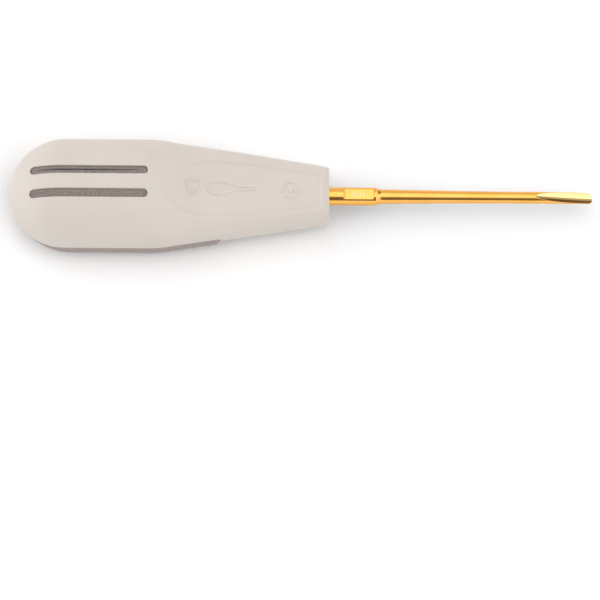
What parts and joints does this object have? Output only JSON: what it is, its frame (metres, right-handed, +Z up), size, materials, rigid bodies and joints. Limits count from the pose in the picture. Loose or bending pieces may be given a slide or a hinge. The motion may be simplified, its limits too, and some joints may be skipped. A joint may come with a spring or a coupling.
{
  "type": "dental elevator",
  "caption": "Straight gouge-tipped dental elevator: a gold-coated steel shank set in a bulbous two-tone palm handle with two grip slots and a thumb panel.",
  "frame": {"origin": "on the surface that the tool lies on, under the middle of its box", "axes": "+X runs along the shank to the blade tip, +Z up through the thumb panel, +Y to the left seen from behind the handle"},
  "size_m": [0.152, 0.0294, 0.0183],
  "materials": {
    "shell_plastic": "fine satin moulding, warm light grey",
    "core_plastic": "unfinished dark moulding, hidden",
    "grip_rubber": "grained soft grip, warm mid grey",
    "coated_steel": "polished steel with a gold-coloured nitride coating",
    "plain_steel": "ground stainless dowel",
    "seal_rubber": "plain black seal"
  },
  "bodies": {
    "root": {"handle_shell": "shell_plastic", "handle_core": "core_plastic", "palm_pad": "grip_rubber", "rib_strip_left": "grip_rubber", "rib_strip_right": "grip_rubber", "blade_shank": "coated_steel", "tang_pin": "plain_steel", "nose_seal": "seal_rubber"}
  },
  "joints": []
}
